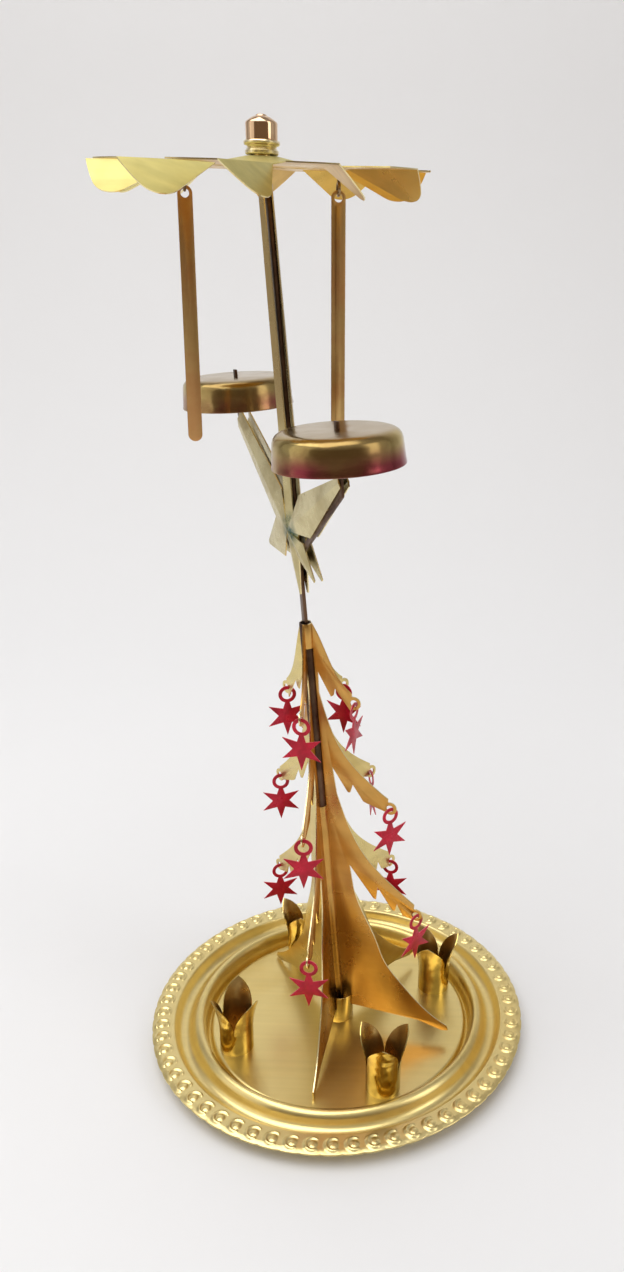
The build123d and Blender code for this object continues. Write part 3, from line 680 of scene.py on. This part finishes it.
# Painted pale reflection: the back sheet is given a paler yellow than the front one.
back_satin_pale_reflection = brass(
    "yellow_satin_brass_painted_pale_reflection", (0.76, 0.61, 0.25), (0.66, 0.47, 0.15), (0.26, 0.36), (160, 160, 900),
    0.000008, size=26.0, cover=0.45
)
# Painted highlight: the narrow cut edges of the sheets, shells and rotor get a pale brass that
# stands in for edge glints.
edge_highlight = brass(
    "painted_edge_highlight_brass", (0.88, 0.76, 0.42), (0.74, 0.56, 0.24), (0.2, 0.32), (900, 900, 900),
    0.000005, size=150.0, cover=0.4
)


def painted_dark_fold_reflection(material, colour, reach, most):
    """Paints a dark reflection onto the sheet towards its fold, near the tray only."""
    lean_x, lean_y = 0.0726, 0.0209
    tree = material.node_tree
    place = object_place(tree)
    level = tree.nodes.new("ShaderNodeCombineXYZ")
    for at, slant in enumerate(((1, 0, lean_x), (0, 1, lean_y))):
        side = tree.nodes.new("ShaderNodeVectorMath")
        side.operation = "DOT_PRODUCT"
        side.inputs[1].default_value = slant
        link(tree, place, side.inputs[0])
        link(tree, side.outputs["Value"], level.inputs[at])
    span = tree.nodes.new("ShaderNodeVectorMath")
    span.operation = "LENGTH"
    link(tree, level.outputs[0], span.inputs[0])
    near = fade(tree, span.outputs["Value"], reach, 0.002, most)
    parts = tree.nodes.new("ShaderNodeSeparateXYZ")
    link(tree, place, parts.inputs[0])
    low = fade(tree, parts.outputs["Z"], 0.075, 0.040)
    paint_over(material, product(tree, near, low), colour)


# Painted dark reflection near the front sheet's fold, where it reflects the other vane.
painted_dark_fold_reflection(front_satin_dark_reflection, (0.30, 0.16, 0.04), 0.022, 0.75)
for side, satin in (("front", front_satin_dark_reflection), ("back", back_satin_pale_reflection)):
    name, node = side + "_sheet", "tree_sheet_" + side
    sheet = finished_copy(name, node, [satin, edge_highlight], 0.00009)
    add_piece(name, sheet, "stand", "brass", node)


# ---------------------------------------------------------------------------
# Pendants. Twelve stamped six pointed stars, each in one piece with its ring,
# dipped in glossy red lacquer, with a painted highlight in paler red on the edges.
def lacquer(name, colour, deep, gloss):
    """Red lacquer over metal, deeper in its patches, with a fine uneven skin."""
    material = bpy.data.materials.new(name)
    material.use_nodes = True
    tree = material.node_tree
    shader = tree.nodes["Principled BSDF"]
    shader.inputs["Metallic"].default_value = 0.2
    shader.inputs["Specular IOR Level"].default_value = 0.3
    shader.inputs["Coat Weight"].default_value = 0.12
    shader.inputs["Coat Roughness"].default_value = 0.08
    cloud = patches(tree, 180.0, 0.5)
    link(tree, two_tone(tree, cloud, colour, deep), shader.inputs["Base Color"])
    uneven_gloss(tree, cloud, gloss, gloss + 0.14)
    peel = tree.nodes.new("ShaderNodeTexNoise")
    peel.inputs["Scale"].default_value = 900.0
    link(tree, object_place(tree), peel.inputs["Vector"])
    skin = tree.nodes.new("ShaderNodeBump")
    skin.inputs["Distance"].default_value = 0.00002
    link(tree, peel.outputs["Fac"], skin.inputs["Height"])
    link(tree, skin.outputs["Normal"], shader.inputs["Normal"])
    return material


red_lacquer = lacquer("red_lacquer", (0.60, 0.008, 0.035), (0.38, 0.004, 0.018), 0.26)
# Painted highlight: the narrow edges of the stars get a paler red that stands in for glints.
glint_lacquer = lacquer("painted_edge_glint_lacquer", (0.78, 0.16, 0.20), (0.70, 0.08, 0.12), 0.25)
for side in ("front", "right", "back", "left"):
    for level in ("top", "middle", "low"):
        node = f"star_{side}_{level}"
        star = finished_copy("pendant_" + node, node, [red_lacquer, glint_lacquer], 0.00008)
        add_piece("pendant_" + node, star, node, "red_lacquer", node)


# ---------------------------------------------------------------------------
# Pole and needle. A flat brown metal rod carries everything above the tree and
# ends in a ground steel needle on which the rotor turns.
rod = finished_copy("rod", "pole_rod", [brown_metal], 0.00012)
add_piece("rod", rod, "stand", "dark_brass", "pole_rod")
ground_steel = brass(
    "ground_steel", (0.62, 0.61, 0.60), (0.46, 0.45, 0.44), (0.18, 0.3), (300, 300, 3000),
    0.000003, size=300.0
)
coat(cad["needle"], ground_steel)


# ---------------------------------------------------------------------------
# Star figure. Two thin stamped shells with folded rays, fixed back to back on
# the pole, greenish and with a dark green stain where the rays meet.
def with_stain(material, centre, radius, colour):
    """Adds a round stain of another colour that fades out from a centre."""
    tree = material.node_tree
    away = tree.nodes.new("ShaderNodeVectorMath")
    away.operation = "DISTANCE"
    away.inputs[1].default_value = centre
    link(tree, object_place(tree), away.inputs[0])
    near = fade(tree, away.outputs["Value"], radius, radius * 0.35)
    paint_over(material, product(tree, near, patches(tree, 240.0, 0.55)), colour)


def with_brown_pole(material, low_height, high_height, colour):
    """Turns the finish brown above two heights, where the long ray covers the pole."""
    tree = material.node_tree
    parts = tree.nodes.new("ShaderNodeSeparateXYZ")
    link(tree, object_place(tree), parts.inputs[0])
    rise = fade(tree, parts.outputs["Z"], low_height, high_height, 0.8)
    paint_over(material, rise, colour)


aged_brass = brass(
    "aged_green_brass", (0.69, 0.60, 0.33), (0.50, 0.41, 0.20), (0.22, 0.36), (300, 300, 60),
    0.000010, size=85.0, cover=0.5
)
figure_centre = (-0.0157, -0.0060, 0.2158)
with_stain(aged_brass, figure_centre, 0.008, (0.02, 0.075, 0.055))
with_brown_pole(aged_brass, 0.236, 0.264, (0.36, 0.24, 0.10))
for side in ("front", "back"):
    name, node = side + "_shell", f"star_{side}_shell"
    shell = finished_copy(name, node, [aged_brass, edge_highlight], 0.00008, sharp=12)
    add_piece(name, shell, "stand", "aged_brass", node)


# ---------------------------------------------------------------------------
# Bell arm. One flat brown strip bent to a wide fork between the shells, with
# an end turned up for each bell.
arm = finished_copy("arm", "bell_arm", [brown_metal], 0.00012)
add_piece("arm", arm, "stand", "dark_brass", "bell_arm")


# ---------------------------------------------------------------------------
# Bells. Two shallow spun brass bowls, upside down on the arm's pins, with dull
# pale tops, mottled sides and a purple tint towards the rim.
def turned_piece(name, line, place, around=96, attribute=None):
    """Closed solid turned about Z from its outline in mm, then put in place. The attribute,
    where one is named, holds each point's height as a share of the whole."""
    mesh = bmesh.new()
    layer = mesh.verts.layers.float.new(attribute) if attribute else None
    low = min(height for _, height in line)
    span = max(height for _, height in line) - low
    rows = []
    for radius, height in line:
        row = []
        for turn in range(around if radius > 0 else 1):
            angle = math.tau * turn / around
            spot = Vector((radius * math.cos(angle), radius * math.sin(angle), height)) / 1000
            vertex = mesh.verts.new(place @ spot)
            if layer:
                vertex[layer] = (height - low) / span
            row.append(vertex)
        rows.append(row)
    for one, two in zip(rows, rows[1:] + rows[:1]):
        if len(one) == 1 and len(two) == 1:
            continue
        for turn in range(around):
            after = (turn + 1) % around
            ring = [one[turn % len(one)], one[after % len(one)], two[after % len(two)]]
            ring.append(two[turn % len(two)])
            mesh.faces.new([v for at, v in enumerate(ring) if v not in ring[:at]])
    bmesh.ops.recalc_face_normals(mesh, faces=mesh.faces)
    plain = bpy.data.meshes.new(name)
    mesh.to_mesh(plain)
    mesh.free()
    plain.shade_smooth()
    plain.set_sharp_from_angle(angle=math.radians(35))
    return plain


def bell_brass():
    """Mottled brass with a purple band near the rim and a pale top."""
    material = brass(
        "heat_tinted_bell_brass", (0.58, 0.45, 0.17), (0.33, 0.22, 0.08), (0.13, 0.26),
        (160, 160, 900), 0.000008, size=55.0, cover=0.52, dents=0.0002
    )
    tree = material.node_tree
    rise = tree.nodes.new("ShaderNodeAttribute")
    rise.attribute_name = "rise"
    band = fade(tree, rise.outputs["Fac"], 0.75, 0.15)
    tint = product(tree, band, patches(tree, 32.0, 0.58))
    paint_over(material, tint, (0.26, 0.045, 0.055))
    top = tree.nodes.new("ShaderNodeMapRange")
    top.inputs["From Min"].default_value = 0.93
    top.inputs["From Max"].default_value = 1.0
    link(tree, rise.outputs["Fac"], top.inputs["Value"])
    paint_over(material, top.outputs[0], (0.50, 0.38, 0.21))
    return material


bell_metal = bell_brass()
bell_line = [(0.88, 0.0), (4.0, 0.0), (15.2, -0.02), (16.6, -0.12), (17.8, -0.5), (18.8, -1.15)]
bell_line += [(19.4, -2.0), (19.75, -3.2), (20.0, -5.6), (20.2, -8.2), (20.35, -9.6)]
bell_line += [(20.5, -10.3), (20.5, -10.7), (20.3, -10.8), (20.05, -10.7), (19.9, -10.2)]
bell_line += [(19.75, -8.2), (19.55, -5.6), (19.3, -3.3), (18.95, -2.25), (18.4, -1.5)]
bell_line += [(17.5, -0.95), (16.4, -0.6), (15.2, -0.47), (4.0, -0.45), (0.88, -0.45)]
for joint in frame["joints"]:
    if joint["name"].startswith("bell_turn"):
        side = joint["name"].rsplit("_", 1)[1]
        axis = Vector(joint["axis"]).normalized()
        tilt = Vector((0, 0, 1)).rotation_difference(axis).to_matrix().to_4x4()
        place = Matrix.Translation(joint["pos_m"]) @ tilt
        bell = turned_piece("spun_bell_" + side, bell_line, place, attribute="rise")
        bell.materials.append(bell_metal)
        add_piece("spun_bell_" + side, bell, "bell_" + side, "aged_brass", "bell_" + side)


# ---------------------------------------------------------------------------
# Rotor. A thin disc of pale brushed brass, cut into ten blades whose outer
# halves are bent down, with a low cone in its middle.
blade_brass = brass(
    "pale_blade_brass", (0.60, 0.53, 0.21), (0.55, 0.47, 0.17), (0.50, 0.60), (90, 1400, 1400),
    0.000010, size=30.0, cover=0.45
)
# Painted shade: the rotor's faces that look down get a deeper orange than its top.
shaded_under_brass = brass(
    "orange_painted_shade_underside_brass", (0.72, 0.46, 0.11), (0.60, 0.34, 0.06), (0.26, 0.36),
    (90, 1400, 1400), 0.000010, size=30.0, cover=0.5
)
rotor_skins = [blade_brass, edge_highlight, shaded_under_brass]
rotor = finished_copy("bladed_rotor", "rotor", rotor_skins, 0.00007, sharp=12)
add_piece("bladed_rotor", rotor, "rotor", "brass", "rotor")


# ---------------------------------------------------------------------------
# Collar. A turned ring of bright yellow brass that clamps the rotor's middle
# below the cap.
collar_brass = brass(
    "turned_collar_brass", (0.93, 0.80, 0.50), (0.86, 0.70, 0.38), (0.2, 0.3), (60, 60, 2400),
    0.000004, size=200.0, cover=0.35
)


def low_middle(node):
    """Place of the middle of a CAD node's underside."""
    low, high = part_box(node)
    return Matrix.Translation(((low[0] + high[0]) / 2, (low[1] + high[1]) / 2, low[2]))


collar_line = [(2.6, 0.0), (4.8, 0.0), (5.1, 0.25), (5.2, 1.0), (4.7, 1.6), (4.5, 2.1)]
collar_line += [(4.7, 2.5), (5.4, 2.75), (5.6, 3.1), (5.6, 3.55), (5.35, 3.85), (5.0, 3.9)]
collar_line += [(2.6, 3.9)]
collar = turned_piece("collar", collar_line, low_middle("rotor_collar"), around=64)
collar.materials.append(collar_brass)
add_piece("collar", collar, "rotor", "brass", "rotor_collar")


# ---------------------------------------------------------------------------
# Cap. A small polished cap of reddish brass with a shoulder, a dome and a low
# button, pressed over the bearing cup.
cap_copper = brass(
    "polished_red_brass", (0.82, 0.56, 0.34), (0.70, 0.42, 0.22), (0.10, 0.18), (40, 40, 1500),
    0.000002, size=160.0, cover=0.35
)
cap_line = [(4.7, 0.0), (4.82, 0.12), (4.85, 0.5), (4.9, 4.6), (4.88, 4.95), (4.7, 5.25)]
cap_line += [(4.2, 5.65), (3.5, 6.15), (2.7, 6.6), (2.0, 6.85), (1.75, 6.95), (1.65, 7.15)]
cap_line += [(1.3, 7.35), (0.7, 7.4), (0.0, 7.4), (0.0, 6.9), (1.4, 6.6), (2.6, 6.1)]
cap_line += [(3.4, 5.6), (4.1, 5.1), (4.4, 4.6), (4.4, 0.0)]
cap = turned_piece("cap", cap_line, low_middle("rotor_cap"), around=64)
cap.materials.append(cap_copper)
add_piece("cap", cap, "rotor", "copper_brass", "rotor_cap")


# ---------------------------------------------------------------------------
# Bearing cup. A drilled brass cup inside the cap whose seat rests on the
# needle's point.
bearing_brass = brass(
    "drilled_bearing_brass", (0.62, 0.45, 0.17), (0.42, 0.28, 0.10), (0.2, 0.34), (60, 60, 2400),
    0.000004, size=200.0
)
coat(cad["bearing_cup"], bearing_brass)


# ---------------------------------------------------------------------------
# Hooks and strikers. Two bent wires hang through the rotor, each with a long
# flat brown gold bar that has a rib down its middle and swings against a bell.
hook_wire = brass(
    "dark_hook_wire", (0.34, 0.23, 0.11), (0.14, 0.085, 0.045), (0.2, 0.36), (900, 900, 900),
    0.000004, size=300.0, cover=0.5
)
striker_brass = brass(
    "streaked_striker_brass", (0.70, 0.47, 0.18), (0.60, 0.31, 0.12), (0.34, 0.44), (900, 900, 16),
    0.000003, size=45.0, cover=0.5
)
striker_edge = brass(
    "dark_striker_edge", (0.36, 0.24, 0.10), (0.24, 0.15, 0.07), (0.24, 0.4), (900, 900, 16),
    0.000010, size=90.0, cover=0.5
)
for side in ("left", "right"):
    coat(cad["hook_" + side], hook_wire)
    node = "striker_" + side
    bar = finished_copy("bar_" + side, node, [striker_brass, striker_edge], 0.00012)
    add_piece("bar_" + side, bar, node, "aged_brass", node)


# ---------------------------------------------------------------------------
# Last update of the view layer.
bpy.context.view_layer.update()
